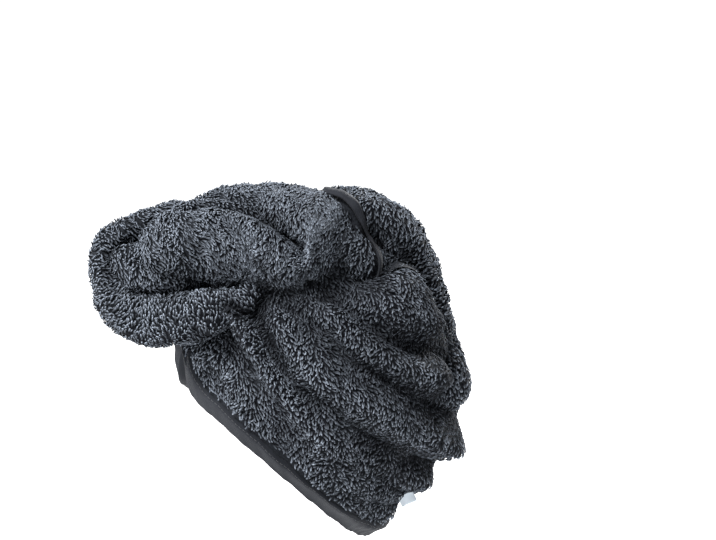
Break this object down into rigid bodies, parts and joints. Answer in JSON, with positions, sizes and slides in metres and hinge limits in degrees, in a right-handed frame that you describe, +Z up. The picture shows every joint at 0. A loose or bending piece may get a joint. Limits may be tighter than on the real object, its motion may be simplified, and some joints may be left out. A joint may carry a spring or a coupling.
{
  "type": "hair turban towel",
  "caption": "Hair towel as worn: a gathered head pocket with a woven rim, its tail twisted, looped over the brow, laid over the crown and buttoned at the nape.",
  "frame": {"origin": "where the crown of the head meets the inside of the pocket, on the middle plane of the head", "axes": "+Z up from the crown of the head, -Y the way the wearer looks, +X to the wearer's left"},
  "size_m": [0.1904, 0.2866, 0.2693],
  "materials": {
    "fleece": "deep coral-fleece pile, dark slate grey",
    "woven_tape": "flat woven tape, dark grey",
    "button": "satin dark grey",
    "label": "smooth satin ribbon, blank"
  },
  "bodies": {
    "root": {"head_pocket": "fleece", "front_loop": "fleece", "upper_roll": "fleece", "tail_band": "fleece", "rim_binding": "woven_tape", "tail_binding": "woven_tape", "nape_button": "button", "care_label": "label"}
  },
  "joints": []
}
